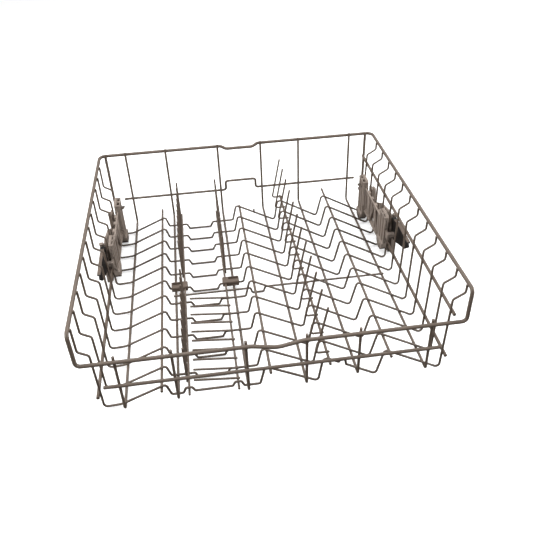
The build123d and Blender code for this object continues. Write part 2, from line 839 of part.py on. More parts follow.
def release_lever(side, layer):
    """Release lever: a long paddle with a lip along its top, and a finger with the latch tooth."""
    near = layer + running_gap
    far = near + lever_thickness
    end_y = pivot_y - lever_reach
    tooth_y = front_column_y - carrier_half_width - running_gap
    finger_y = tooth_y - finger_width
    with BuildPart() as lever:
        paddle_plane, paddle_amount = slab(side, near, far)
        with BuildSketch(paddle_plane):
            with BuildLine():
                Polyline(
                    (finger_y, finger_top),
                    (pivot_y - lever_crown_lead, lever_crown_z),
                    (end_y + lever_end_cut, lever_end_top),
                    (end_y, lever_end_top - lever_end_cut),
                    (end_y + lever_end_slant, lever_end_foot),
                    (pivot_y - pivot_boss / 2, lever_heel_foot),
                    (pivot_y + pivot_boss / 2, lever_heel_foot),
                    (tooth_y - rack_notch_depth, pivot_z),
                    (tooth_y - rack_notch_depth, finger_top),
                    close=True,
                )
            make_face()
        extrude(amount=paddle_amount)
        finger_plane, finger_amount = slab(side, near, near + finger_depth)
        with BuildSketch(finger_plane):
            with BuildLine():
                Polyline(
                    (finger_y, pivot_z + pivot_boss),
                    (tooth_y - rack_notch_depth, pivot_z + pivot_boss),
                    (tooth_y - rack_notch_depth, finger_top - tooth_height),
                    (tooth_y, finger_top - (tooth_height + tooth_tip) / 2),
                    (tooth_y, finger_top - (tooth_height - tooth_tip) / 2),
                    (tooth_y - rack_notch_depth, finger_top),
                    (finger_y, finger_top),
                    close=True,
                )
            make_face()
        extrude(amount=finger_amount)
        lip_plane, lip_amount = slab(side, far, far + lever_lip)
        with BuildSketch(lip_plane):
            with BuildLine():
                Polyline(
                    (pivot_y - lever_crown_lead, lever_crown_z),
                    (end_y + lever_end_cut, lever_end_top),
                    (end_y + lever_end_cut, lever_end_top - lever_lip),
                    (pivot_y - lever_crown_lead, lever_crown_z - lever_lip),
                    close=True,
                )
            make_face()
        extrude(amount=lip_amount)
        bore_plane, bore_amount = slab(side, near, far)
        with BuildSketch(bore_plane):
            with Locations((pivot_y, pivot_z)):
                Circle(peg_diameter / 2 + running_gap)
        extrude(amount=bore_amount, mode=Mode.SUBTRACT)
    return lever.part


for side, name in ((-1, "left"), (1, "right")):
    column_ends = (rear_column_foot, front_column_top)
    wall_inner = min(wall_at(side, z) for z in column_ends) - half(cross_wire) - seat_gap
    rail_heights = (side_rail_z,) if side < 0 else (side_rail_z, upper_rail_z)
    rail_outer = max(side_rail_x(side, z) for z in rail_heights) + half(rail_wire)
    guide_layer = rail_outer + seat_gap
    keep(inner_plate(side, wall_inner, guide_layer), f"guide_plate_{name}")
    keep(outer_guide(side, guide_layer), f"guide_bars_{name}")
    keep(rail_carrier(side, guide_layer), f"rail_carrier_{name}")
    keep(release_lever(side, guide_layer), f"release_lever_{name}")
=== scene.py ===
"""Looks of the upper dishwasher basket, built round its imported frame.

Sizes are written in millimetres and become metres through MM. X runs left to right, Y front to back and
Z up, as in the frame.
"""

import json
import logging
import math
from dataclasses import dataclass, field
from enum import Enum

import bpy
from mathutils import Matrix, Quaternion, Vector

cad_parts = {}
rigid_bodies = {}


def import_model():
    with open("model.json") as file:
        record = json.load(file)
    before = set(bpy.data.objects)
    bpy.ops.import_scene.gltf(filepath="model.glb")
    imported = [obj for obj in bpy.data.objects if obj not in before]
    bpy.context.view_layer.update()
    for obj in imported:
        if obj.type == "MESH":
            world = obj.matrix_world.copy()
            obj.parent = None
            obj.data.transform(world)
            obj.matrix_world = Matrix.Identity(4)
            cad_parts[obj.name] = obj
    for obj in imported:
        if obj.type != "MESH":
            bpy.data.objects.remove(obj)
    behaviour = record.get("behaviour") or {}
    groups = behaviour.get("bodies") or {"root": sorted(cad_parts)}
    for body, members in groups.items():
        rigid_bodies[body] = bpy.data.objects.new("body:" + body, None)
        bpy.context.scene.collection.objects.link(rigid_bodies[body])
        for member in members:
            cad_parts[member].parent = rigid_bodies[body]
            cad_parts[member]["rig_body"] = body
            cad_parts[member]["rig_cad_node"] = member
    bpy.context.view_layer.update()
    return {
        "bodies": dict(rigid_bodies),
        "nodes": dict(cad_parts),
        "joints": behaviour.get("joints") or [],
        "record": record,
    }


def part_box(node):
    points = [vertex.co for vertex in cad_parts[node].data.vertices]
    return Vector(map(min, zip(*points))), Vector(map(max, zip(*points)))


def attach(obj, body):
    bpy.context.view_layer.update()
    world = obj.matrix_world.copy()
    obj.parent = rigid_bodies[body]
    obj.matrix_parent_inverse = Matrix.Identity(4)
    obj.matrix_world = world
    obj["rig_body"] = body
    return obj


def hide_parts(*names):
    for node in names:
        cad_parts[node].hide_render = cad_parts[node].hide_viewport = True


MM = 0.001
# Points closer than this are merged.
SAME_POINT = MM / 1000
# Facets round a moulded edge, and the turn in degrees below which faces are shaded as one.
EDGE_FACETS = 2
SMOOTH_BELOW = 38.0
LOG = logging.getLogger("basket")

Pair = tuple[float, float]
Triple = tuple[float, float, float]
Piece = bpy.types.Object


class Slot(Enum):
    """Material slots of the pieces."""

    WIRE = "coated_wire"
    ADJUSTER = "adjuster_plastic"
    LEVER = "lever_plastic"
    CLIP = "clip_plastic"


class Body(Enum):
    """Rigid bodies that the pieces ride on."""

    BASKET = "basket"
    COMB_1 = "front_comb_1"
    COMB_2 = "front_comb_2"
    CARRIER_LEFT = "carrier_left"
    CARRIER_RIGHT = "carrier_right"
    LEVER_LEFT = "lever_left"
    LEVER_RIGHT = "lever_right"


class Side(Enum):
    """The two side walls of the basket."""

    LEFT = "left"
    RIGHT = "right"

    @property
    def sign(self) -> int:
        """-1 on the left, 1 on the right."""
        return -1 if self is Side.LEFT else 1

    def span(self, near: float, far: float) -> Pair:
        """Lowest and highest x between two distances from the middle plane."""
        ends = self.sign * near, self.sign * far
        return min(ends), max(ends)


class Pick(Enum):
    """What is picked in edit mode."""

    POINTS = "VERT"
    EDGES = "EDGE"
    FACES = "FACE"


def connect(tree: bpy.types.NodeTree, *links: tuple[bpy.types.Node, str, bpy.types.Node, str]) -> None:
    """Link the named output of one node to the named input of another, row by row."""
    for source, given, target, taken in links:
        tree.links.new(source.outputs[given], target.inputs[taken])


@dataclass(frozen=True)
class SurfaceMottle:
    """Node group for the slow colour drift, gloss drift and fine texture of a surface."""

    name: str = "surface_mottle"
    patch_detail: float = 3.0
    grain_detail: float = 2.0

    def build(self) -> bpy.types.ShaderNodeTree:
        """Make the group once.

        Returns:
            The node tree, with colour, roughness and height outputs.
        """
        tree = bpy.data.node_groups.new(self.name, "ShaderNodeTree")
        for way, kind, labels in (
            ("INPUT", "NodeSocketColor", ("Light", "Dark")),
            ("INPUT", "NodeSocketFloat", ("Patch Scale", "Grain Scale", "Smoothest", "Roughest")),
            ("OUTPUT", "NodeSocketColor", ("Colour",)),
            ("OUTPUT", "NodeSocketFloat", ("Roughness", "Height")),
        ):
            for label in labels:
                tree.interface.new_socket(name=label, in_out=way, socket_type=kind)
        nodes = tree.nodes
        given = nodes.new("NodeGroupInput")
        made = nodes.new("NodeGroupOutput")
        place = nodes.new("ShaderNodeTexCoord")
        patch = nodes.new("ShaderNodeTexNoise")
        patch.inputs["Detail"].default_value = self.patch_detail
        grain = nodes.new("ShaderNodeTexNoise")
        grain.inputs["Detail"].default_value = self.grain_detail
        mix = nodes.new("ShaderNodeMix")
        mix.data_type = "RGBA"
        gloss = nodes.new("ShaderNodeMapRange")
        connect(
            tree,
            (place, "Object", patch, "Vector"),
            (place, "Object", grain, "Vector"),
            (given, "Patch Scale", patch, "Scale"),
            (given, "Grain Scale", grain, "Scale"),
            (patch, "Fac", mix, "Factor"),
            (given, "Dark", mix, "A"),
            (given, "Light", mix, "B"),
            (patch, "Fac", gloss, "Value"),
            (given, "Smoothest", gloss, "To Min"),
            (given, "Roughest", gloss, "To Max"),
            (mix, "Result", made, "Colour"),
            (gloss, "Result", made, "Roughness"),
            (grain, "Fac", made, "Height"),
        )
        return tree


@dataclass(frozen=True)
class Finish:
    """A coated or moulded finish: two close colours, a gloss range and a fine texture."""

    name: str
    light: Triple
    dark: Triple
    smoothest: float
    roughest: float
    patch_scale: float
    grain_scale: float
    grain_depth: float
    coat: float = 0.0
    coat_roughness: float = 0.25
    grain_strength: float = 0.35
    specular: float = 0.3

    def build(self, mottle: bpy.types.ShaderNodeTree) -> bpy.types.Material:
        """Make the material.

        Args:
            mottle: The shared surface group.

        Returns:
            The material, ready to be given to pieces.
        """
        material = bpy.data.materials.new(self.name)
        material.use_nodes = True
        nodes = material.node_tree.nodes
        shader = nodes["Principled BSDF"]
        surface = nodes.new("ShaderNodeGroup")
        surface.node_tree = mottle
        bump = nodes.new("ShaderNodeBump")
        for node, label, value in (
            (surface, "Light", (*self.light, 1.0)),
            (surface, "Dark", (*self.dark, 1.0)),
            (surface, "Patch Scale", self.patch_scale),
            (surface, "Grain Scale", self.grain_scale),
            (surface, "Smoothest", self.smoothest),
            (surface, "Roughest", self.roughest),
            (bump, "Strength", self.grain_strength),
            (bump, "Distance", self.grain_depth * MM),
            (shader, "Specular IOR Level", self.specular),
            (shader, "Coat Weight", self.coat),
            (shader, "Coat Roughness", self.coat_roughness),
        ):
            node.inputs[label].default_value = value
        connect(
            material.node_tree,
            (surface, "Colour", shader, "Base Color"),
            (surface, "Roughness", shader, "Roughness"),
            (surface, "Height", bump, "Height"),
            (bump, "Normal", shader, "Normal"),
        )
        return material


FINISHES: dict[Slot, Finish] = {
    Slot.WIRE: Finish(
        name="taupe_wire_coating", light=(0.156, 0.121, 0.097), dark=(0.098, 0.075, 0.059),
        smoothest=0.30, roughest=0.46, patch_scale=38.0, grain_scale=900.0, grain_depth=0.05, coat=0.08,
    ),
    Slot.ADJUSTER: Finish(
        name="taupe_adjuster_plastic", light=(0.290, 0.239, 0.203), dark=(0.205, 0.167, 0.142),
        smoothest=0.40, roughest=0.60, patch_scale=55.0, grain_scale=1500.0, grain_depth=0.06,
    ),
    Slot.LEVER: Finish(
        name="black_lever_plastic", light=(0.016, 0.014, 0.013), dark=(0.008, 0.007, 0.006),
        smoothest=0.40, roughest=0.58, patch_scale=60.0, grain_scale=1600.0, grain_depth=0.06,
    ),
    Slot.CLIP: Finish(
        name="taupe_clip_plastic", light=(0.150, 0.112, 0.088), dark=(0.092, 0.068, 0.053),
        smoothest=0.40, roughest=0.58, patch_scale=70.0, grain_scale=1500.0, grain_depth=0.06,
    ),
}


@dataclass(frozen=True)
class WireGauge:
    """Diameters of the round wires with their coating."""

    rim: float = 5.9
    rail: float = 5.2
    rear: float = 4.7
    long: float = 4.2
    cross: float = 3.6
    tine: float = 3.4


@dataclass
class Workshop:
    """Holds the frame, the gauges and the finishes, and dresses finished pieces."""

    frame: dict
    gauge: WireGauge = WireGauge()
    materials: dict[Slot, bpy.types.Material] = field(default_factory=dict)

    def prepare(self) -> None:
        """Make every finish once."""
        mottle = SurfaceMottle().build()
        self.materials = {slot: finish.build(mottle) for slot, finish in FINISHES.items()}

    def dress(self, piece: Piece, name: str, slot: Slot, body: Body, *nodes: str) -> None:
        """Finish a piece and let it ride.

        Args:
            piece: The finished mesh object, at the origin.
            name: The piece's name.
            slot: Its material slot.
            body: The body it moves with.
            nodes: CAD nodes that it stands for.
        """
        piece.name = name
        piece.data.name = name
        piece.data.materials.clear()
        piece.data.materials.append(self.materials[slot])
        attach(piece, body.value)
        if nodes:
            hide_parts(*nodes)
        LOG.info("%s: %d faces, rides on %s", name, len(piece.data.polygons), body.value)

    def coat(self, wire: Piece, node: str, body: Body = Body.BASKET) -> None:
        """Dress a coated wire that stands for one node."""
        self.dress(wire, f"{node}_coated", Slot.WIRE, body, node)


@dataclass
class Assembly:
    """A part of the basket that is built and dressed in the workshop."""

    shop: Workshop


def node_box(node: str) -> tuple[Vector, Vector]:
    """Lowest and highest corner of a CAD node, in millimetres."""
    low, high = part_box(node)
    return low / MM, high / MM


def inner_face(node: str) -> float:
    """Distance from the middle plane to the near face of a node on one side, in millimetres."""
    low, high = node_box(node)
    return min(abs(low.x), abs(high.x))


def deselect() -> None:
    """Leave edit mode and deselect every object."""
    if bpy.context.object and bpy.context.object.mode != "OBJECT":
        bpy.ops.object.mode_set(mode="OBJECT")
    bpy.ops.object.select_all(action="DESELECT")


def choose(piece: Piece) -> None:
    """Make one object the only selected and active one.

    Args:
        piece: The object.
    """
    deselect()
    piece.select_set(True)
    bpy.context.view_layer.objects.active = piece


def remove(piece: Piece) -> None:
    """Delete a helper object."""
    choose(piece)
    bpy.ops.object.delete()


def edit_all(pick: Pick) -> None:
    """Enter edit mode on the active object with everything picked.

    Args:
        pick: What is picked.
    """
    bpy.ops.object.mode_set(mode="EDIT")
    bpy.ops.mesh.select_mode(type=pick.value)
    bpy.ops.mesh.select_all(action="SELECT")


def extrude(step: Vector) -> None:
    """Extrude what is picked by a step in metres."""
    bpy.ops.mesh.extrude_region_move(TRANSFORM_OT_translate={"value": step})


def close_edit() -> None:
    """Turn every face outward and leave edit mode."""
    bpy.ops.mesh.select_all(action="SELECT")
    bpy.ops.mesh.normals_make_consistent(inside=False)
    bpy.ops.object.mode_set(mode="OBJECT")


def copy_moved(piece: Piece, shift: Vector) -> Piece:
    """Copy a piece with its own mesh.

    Args:
        piece: The piece to copy.
        shift: How far the copy is moved, in metres.

    Returns:
        The copy, with the shift in its mesh.
    """
    choose(piece)
    bpy.ops.object.duplicate()
    copy = bpy.context.object
    copy.location = shift
    bpy.ops.object.transform_apply(location=True, rotation=False, scale=False)
    return copy


def repeat(piece: Piece, shifts: list[float]) -> list[Piece]:
    """List a piece and its copies, each shifted along Y by so many millimetres."""
    return [piece, *(copy_moved(piece, Vector((0.0, shift, 0.0)) * MM) for shift in shifts)]


def join(pieces: list[Piece]) -> Piece:
    """Join pieces into one.

    Args:
        pieces: The pieces.

    Returns:
        The first piece, with the others in its mesh.
    """
    deselect()
    for piece in pieces:
        piece.select_set(True)
    bpy.context.view_layer.objects.active = pieces[0]
    bpy.ops.object.join()
    return bpy.context.object


def round_edges(piece: Piece, radius: float, facets: int, sharp: float, smooth: float) -> None:
    """Round the sharp edges of the active piece and shade it smooth.

    Args:
        piece: The active piece.
        radius: Radius of the edges, in millimetres.
        facets: Facets round each edge.
        sharp: Edges that turn by more than this are rounded, in degrees.
        smooth: Edges that turn by less than this are shaded smooth, in degrees.
    """
    rounding = piece.modifiers.new("rounding", "BEVEL")
    rounding.width = radius * MM
    rounding.segments = facets
    rounding.limit_method = "ANGLE"
    rounding.angle_limit = math.radians(sharp)
    bpy.ops.object.modifier_apply(modifier=rounding.name)
    bpy.ops.object.shade_smooth_by_angle(angle=math.radians(smooth))


def block(low: Triple, high: Triple) -> Piece:
    """Build a plain box.

    Args:
        low: Its lowest corner, in millimetres.
        high: Its highest corner, in millimetres.

    Returns:
        The box, with its place in its mesh and everything picked.
    """
    deselect()
    bpy.ops.mesh.primitive_cube_add(size=1.0)
    edit_all(Pick.FACES)
    foot, top = Vector(low) * MM, Vector(high) * MM
    bpy.ops.transform.resize(value=top - foot)
    bpy.ops.transform.translate(value=(foot + top) / 2)
    bpy.ops.object.mode_set(mode="OBJECT")
    return bpy.context.object


def bar(low: Triple, high: Triple, edge: float) -> Piece:
    """Build a straight bar with rounded edges.

    Args:
        low: Its lowest corner, in millimetres.
        high: Its highest corner, in millimetres.
        edge: Radius of its edges, in millimetres.

    Returns:
        The bar, with its place in its mesh.
    """
    piece = block(low, high)
    bpy.ops.object.mode_set(mode="EDIT")
    bpy.ops.mesh.bevel(offset=edge * MM, segments=EDGE_FACETS, affect="EDGES")
    bpy.ops.object.mode_set(mode="OBJECT")
    bpy.ops.object.shade_smooth_by_angle(angle=math.radians(SMOOTH_BELOW))
    return piece


@dataclass(frozen=True)
class Recess:
    """A box-shaped recess that is cut into a piece, in millimetres."""

    low: Triple
    high: Triple

    def cut(self, piece: Piece) -> None:
        """Cut the recess out of a piece.

        Args:
            piece: The piece, which is the active one afterwards.
        """
        cutter = block(self.low, self.high)
        choose(piece)
        cut = piece.modifiers.new("recess", "BOOLEAN")
        cut.operation = "DIFFERENCE"
        cut.solver = "EXACT"
        cut.object = cutter
        bpy.ops.object.modifier_apply(modifier=cut.name)
        remove(cutter)
        choose(piece)


@dataclass(frozen=True)
class Corner:
    """A corner of a wire's route in millimetres, with the radius of its bend."""

    x: float
    y: float
    z: float
    bend: float = 0.0

    def place(self) -> Vector:
        """The corner in metres."""
        return Vector((self.x, self.y, self.z)) * MM


@dataclass
class Wire:
    """A round coated wire bent along corners, with softened cut ends."""

    corners: list[Corner]
    diameter: float
    profile_detail: int = 6
    degrees_per_facet: float = 11.0
    least_turn: float = 0.01
    least_steps: int = 2
    end_softening: float = 0.26
    end_facets: int = 3
    smooth: float = 50.0

    def route(self) -> list[Vector]:
        """Points of the wire's middle line, with an arc in each bend.

        Returns:
            The points in metres, from the first end to the last.
        """
        places = [corner.place() for corner in self.corners]
        points = [places[0]]
        for before, corner, after, bent in zip(places, places[1:], places[2:], self.corners[1:]):
            back = (before - corner).normalized()
            ahead = (after - corner).normalized()
            turn = math.pi - back.angle(ahead)
            if bent.bend == 0.0 or turn < self.least_turn:
                points.append(corner)
                continue
            reach = bent.bend * MM * math.tan(turn / 2)
            start = corner + back * reach
            middle = corner + (back + ahead).normalized() * (bent.bend * MM / math.cos(turn / 2))
            axis = (start - middle).cross(corner + ahead * reach - middle)
            steps = max(self.least_steps, round(math.degrees(turn) / self.degrees_per_facet))
            for step in range(steps + 1):
                points.append(middle + Quaternion(axis, turn * step / steps) @ (start - middle))
        points.append(places[-1])
        return points

    def build(self) -> Piece:
        """Draw the middle line by extruding a point, then give it a round section.

        Returns:
            The wire as a mesh object at the origin.
        """
        points = self.route()
        deselect()
        bpy.ops.mesh.primitive_plane_add(size=MM)
        edit_all(Pick.POINTS)
        bpy.ops.mesh.merge(type="CENTER")
        bpy.ops.transform.translate(value=points[0])
        for here, there in zip(points, points[1:]):
            extrude(there - here)
        bpy.ops.object.mode_set(mode="OBJECT")
        bpy.ops.object.convert(target="CURVE")
        line = bpy.context.object.data
        line.dimensions = "3D"
        line.bevel_depth = self.diameter / 2 * MM
        line.bevel_resolution = self.profile_detail
        line.use_fill_caps = True
        bpy.ops.object.convert(target="MESH")
        self.soften_ends()
        bpy.ops.object.shade_smooth_by_angle(angle=math.radians(self.smooth))
        return bpy.context.object

    def soften_ends(self) -> None:
        """Round the edges of the two cut ends, as the coating does."""
        edit_all(Pick.FACES)
        bpy.ops.mesh.remove_doubles(threshold=SAME_POINT)
        bpy.ops.mesh.normals_make_consistent(inside=False)
        bpy.ops.mesh.select_all(action="DESELECT")
        # The two caps are the only faces with more than four sides.
        bpy.ops.mesh.select_face_by_sides(number=4, type="GREATER", extend=False)
        bpy.ops.mesh.select_mode(type=Pick.EDGES.value)
        bpy.ops.mesh.region_to_loop()
        radius = self.diameter * self.end_softening * MM
        bpy.ops.mesh.bevel(offset=radius, segments=self.end_facets, affect="EDGES")
        bpy.ops.object.mode_set(mode="OBJECT")


@dataclass
class StraightWires(Assembly):
    """Wires with no bend: rails, ridge wires and corner wires, each laid where its node is."""

    rails: tuple[str, ...] = (
        "front_rail",
        "side_rail_left",
        "side_rail_right",
        "upper_rail_right",
        "corner_wire_left",
        "corner_wire_right",
    )
    ridges: tuple[str, ...] = ("ridge_wire_left", "ridge_wire_middle", "ridge_wire_right")

    def lay(self, node: str, diameter: float) -> Piece:
        """Build one straight wire along the longest side of its node's box.

        Args:
            node: The CAD node.
            diameter: The wire's diameter in millimetres.

        Returns:
            The wire.
        """
        low, high = node_box(node)
        start, end = (low + high) / 2, (low + high) / 2
        along = max(range(3), key=lambda axis: high[axis] - low[axis])
        start[along], end[along] = low[along], high[along]
        return Wire([Corner(*start), Corner(*end)], diameter).build()

    def build(self) -> None:
        """Build and dress every straight wire."""
        for nodes, diameter in ((self.rails, self.shop.gauge.rail), (self.ridges, self.shop.gauge.long)):
            for node in nodes:
                self.shop.coat(self.lay(node, diameter), node)


@dataclass
class Rim(Assembly):
    """Top rim: round the back and sides, down the front corners and across the front, with two dips."""

    half_width: float = 268.7
    half_depth: float = 256.5
    height: float = 153.0
    front_height: float = 97.0
    back_bend: float = 12.0
    front_bend: float = 7.0
    dip_depth: float = 6.5
    dip_middle: float = 1.0
    back_dip_half_width: float = 26.0
    back_dip_run_out: float = 10.5
    back_dip_bend: float = 11.0
    front_dip_half_width: float = 4.0
    front_dip_run_out: float = 32.0
    front_dip_bend: float = 24.0

    def half(self, side: Side) -> Piece:
        """Build the half of the rim on one side.

        Args:
            side: The side of the basket.

        Returns:
            The half rim.
        """
        back_low = self.dip_middle + side.sign * self.back_dip_half_width
        back_high = back_low + side.sign * self.back_dip_run_out
        front_low = self.dip_middle + side.sign * self.front_dip_half_width
        front_high = front_low + side.sign * self.front_dip_run_out
        back_dip, front_dip = self.height - self.dip_depth, self.front_height - self.dip_depth
        x, y = side.sign * self.half_width, self.half_depth
        corners = [
            Corner(self.dip_middle, y, back_dip),
            Corner(back_low, y, back_dip, self.back_dip_bend),
            Corner(back_high, y, self.height, self.back_dip_bend),
            Corner(x, y, self.height, self.back_bend),
            Corner(x, -y, self.height, self.front_bend),
            Corner(x, -y, self.front_height, self.front_bend),
            Corner(front_high, -y, self.front_height, self.front_dip_bend),
            Corner(front_low, -y, front_dip, self.front_dip_bend),
            Corner(self.dip_middle, -y, front_dip),
        ]
        return Wire(corners, self.shop.gauge.rim).build()

    def build(self) -> None:
        """Build both halves as one butt-welded hoop."""
        self.shop.coat(join([self.half(side) for side in Side]), "top_rim")


@dataclass(frozen=True)
class CombRow:
    """Where a row of combs stands, and how its front comb folds and leans at rest."""

    number: int
    front_body: Body
    shaft: float
    front_first: float
    fold: int
    front_lean: float


COMB_ROWS = (
    CombRow(number=1, front_body=Body.COMB_1, shaft=-127.0, front_first=-38.04, fold=1, front_lean=0.0),
    CombRow(number=2, front_body=Body.COMB_2, shaft=-56.0, front_first=-48.46, fold=-1, front_lean=84.0),
)


@dataclass
class CrossWires(Assembly):
    """Cross wires: stepped walls, four ridges, two comb seats and a trough, with places as (x, z).

    The front one has humps over the comb shafts and a notch.
    """

    count: int = 12
    half_span: float = 265.0
    top: float = 154.0
    left_step_top: float = 113.0
    left_step_foot: Pair = (-250.67, 104.4)
    left_foot: Pair = (-249.3, 3.0)
    first_slope: Pair = (-224.0, 4.5)
    first_ridge: Pair = (-158.6, 32.8)
    seat: float = 11.84
    seat_ends: Pair = (-152.2, -24.3)
    trough: float = 1.81
    trough_left: Pair = (-117.4, -112.5)
    trough_right: Pair = (-70.3, -65.3)
    second_ridge: Pair = (-16.3, 44.9)
    left_valley: Pair = (60.8, 2.8)
    third_ridge: Pair = (68.1, 49.5)
    right_valley: Pair = (147.7, 2.8)
    fourth_ridge: Pair = (158.4, 49.0)
    right_foot: Pair = (245.4, -0.71)
    right_step_foot: Pair = (248.17, 130.2)
    right_step_top: float = 140.3
    wall_bend: float = 5.5
    left_foot_bend: float = 6.0
    right_foot_bend: float = 5.0
    slope_bend: float = 20.0
    ridge_bend: float = 4.5
    third_ridge_bend: float = 6.5
    seat_bend: float = 4.0
    trough_bend: float = 2.6
    front_trough: float = 13.6
    hump: float = 21.0
    hump_half_width: float = 4.5
    hump_run_out: float = 4.0
    hump_bend: float = 2.5
    notch_left: float = 91.0
    notch_width: float = 11.0
    notch_rise: float = 3.5
    notch_bend: float = 1.5
    stub_x: float = 19.4
    stub_foot: float = 25.4
    stub_height: float = 7.0
    stub_share: float = 0.9

    def seats(self) -> list[Triple]:
        """Corners (x, z, bend) of the trough between the comb seats.

        Returns:
            The corners, from the left.
        """
        return [
            (self.trough_left[0], self.seat, self.trough_bend),
            (self.trough_left[1], self.trough, self.trough_bend),
            (self.trough_right[0], self.trough, self.trough_bend),
            (self.trough_right[1], self.seat, self.trough_bend),
        ]

    def front_seats(self) -> list[Triple]:
        """Corners of the front wire's humps over the comb shafts and the trough between them.

        Returns:
            The corners, from the left.
        """
        corners = []
        near, far = self.hump_half_width, self.hump_half_width + self.hump_run_out
        levels = (self.seat, self.front_trough, self.seat)
        for row, left, right in zip(COMB_ROWS, levels, levels[1:]):
            for offset, z in ((-far, left), (-near, self.hump), (near, self.hump), (far, right)):
                corners.append((row.shaft + offset, z, self.hump_bend))
        return corners

    def notch(self) -> list[Triple]:
        """Corners of the notch in the front wire's third slope.

        Returns:
            The corners, from the left.
        """
        (top_x, top_z), (foot_x, foot_z) = self.third_ridge, self.right_valley
        fall = (top_z - foot_z) / (foot_x - top_x)
        left = top_z - fall * (self.notch_left - top_x)
        notch_right, inset = self.notch_left + self.notch_width, self.notch_rise / 2
        return [
            (self.notch_left, left, self.notch_bend),
            (self.notch_left + inset, left + self.notch_rise, self.notch_bend),
            (notch_right - inset, left + self.notch_rise, self.notch_bend),
            (notch_right, left - fall * self.notch_width, self.notch_bend),
        ]

    def outline(self, front: bool) -> list[Triple]:
        """Corners (x, z, bend) of one wire.

        Args:
            front: Whether it is the front one.

        Returns:
            The corners from the left rim to the right one.
        """
        return [
            (-self.half_span, self.top, 0.0),
            (-self.half_span, self.left_step_top, self.wall_bend),
            (*self.left_step_foot, self.wall_bend),
            (*self.left_foot, self.left_foot_bend),
            (*self.first_slope, self.slope_bend),
            (*self.first_ridge, self.ridge_bend),
            (self.seat_ends[0], self.seat, self.seat_bend),
            *(self.front_seats() if front else self.seats()),
            (self.seat_ends[1], self.seat, self.seat_bend),
            (*self.second_ridge, self.ridge_bend),
            (*self.left_valley, self.ridge_bend),
            (*self.third_ridge, self.third_ridge_bend),
            *(self.notch() if front else []),
            (*self.right_valley, self.ridge_bend),
            (*self.fourth_ridge, self.ridge_bend),
            (*self.right_foot, self.right_foot_bend),
            (*self.right_step_foot, self.wall_bend),
            (self.half_span, self.right_step_top, self.wall_bend),
            (self.half_span, self.top, 0.0),
        ]

    def draw(self, y: float, front: bool) -> Piece:
        """Build one cross wire at a place along the basket."""
        corners = [Corner(x, y, z, bend) for x, z, bend in self.outline(front)]
        return Wire(corners, self.shop.gauge.cross).build()

    def height_at(self, x: float) -> float:
        """Height of a plain wire's middle at x, in millimetres.

        Args:
            x: Place across the basket, between the walls.

        Returns:
            The height over the table.
        """
        outline = self.outline(front=False)
        for (x0, z0, _), (x1, z1, _) in zip(outline, outline[1:]):
            if x0 < x <= x1:
                return z0 + (z1 - z0) * (x - x0) / (x1 - x0)
        return self.seat

    def nodes(self) -> list[str]:
        """Names of the wires' nodes, from the back."""
        return [f"cross_wire_{number:02d}" for number in range(1, self.count + 1)]

    def places(self) -> list[float]:
        """Place of each wire along the basket, in millimetres, from the back."""
        boxes = [node_box(node) for node in self.nodes()]
        return [(low.y + high.y) / 2 for low, high in boxes]

    def build(self) -> None:
        """Build the plain wire once, copy it, and add the front wire and the stub."""
        places = self.places()
        plain = self.draw(places[0], front=False)
        wires = repeat(plain, [y - places[0] for y in places[1:-1]])
        wires.append(self.draw(places[-1], front=True))
        foot = Corner(self.stub_x, places[0], self.stub_foot)
        tip = Corner(self.stub_x, places[0], self.stub_foot + self.stub_height)
        wires[0] = join([plain, Wire([foot, tip], self.shop.gauge.cross * self.stub_share).build()])
        for node, wire in zip(self.nodes(), wires):
            self.shop.coat(wire, node)


@dataclass
class LongWires(Assembly):
    """Lengthwise wires: down the back, along the floor and up the front inside the rim."""

    letters: str = "bcdefg"
    node_half: float = 1.62
    front_tip: float = 103.5
    back_bend: float = 6.0
    front_bend: float = 2.6

    def nodes(self) -> list[str]:
        """Names of the wires' nodes."""
        return [f"long_wire_{letter}" for letter in self.letters]

    def build(self) -> None:
        """Build each wire from its node's box."""
        for node in self.nodes():
            low, high = node_box(node)
            x, floor = (low.x + high.x) / 2, low.z + self.node_half
            back, front = high.y - self.node_half, low.y + self.node_half
            corners = [
                Corner(x, back, high.z),
                Corner(x, back, floor, self.back_bend),
                Corner(x, front, floor, self.front_bend),
                Corner(x, front, self.front_tip),
            ]
            self.shop.coat(Wire(corners, self.shop.gauge.long).build(), node)


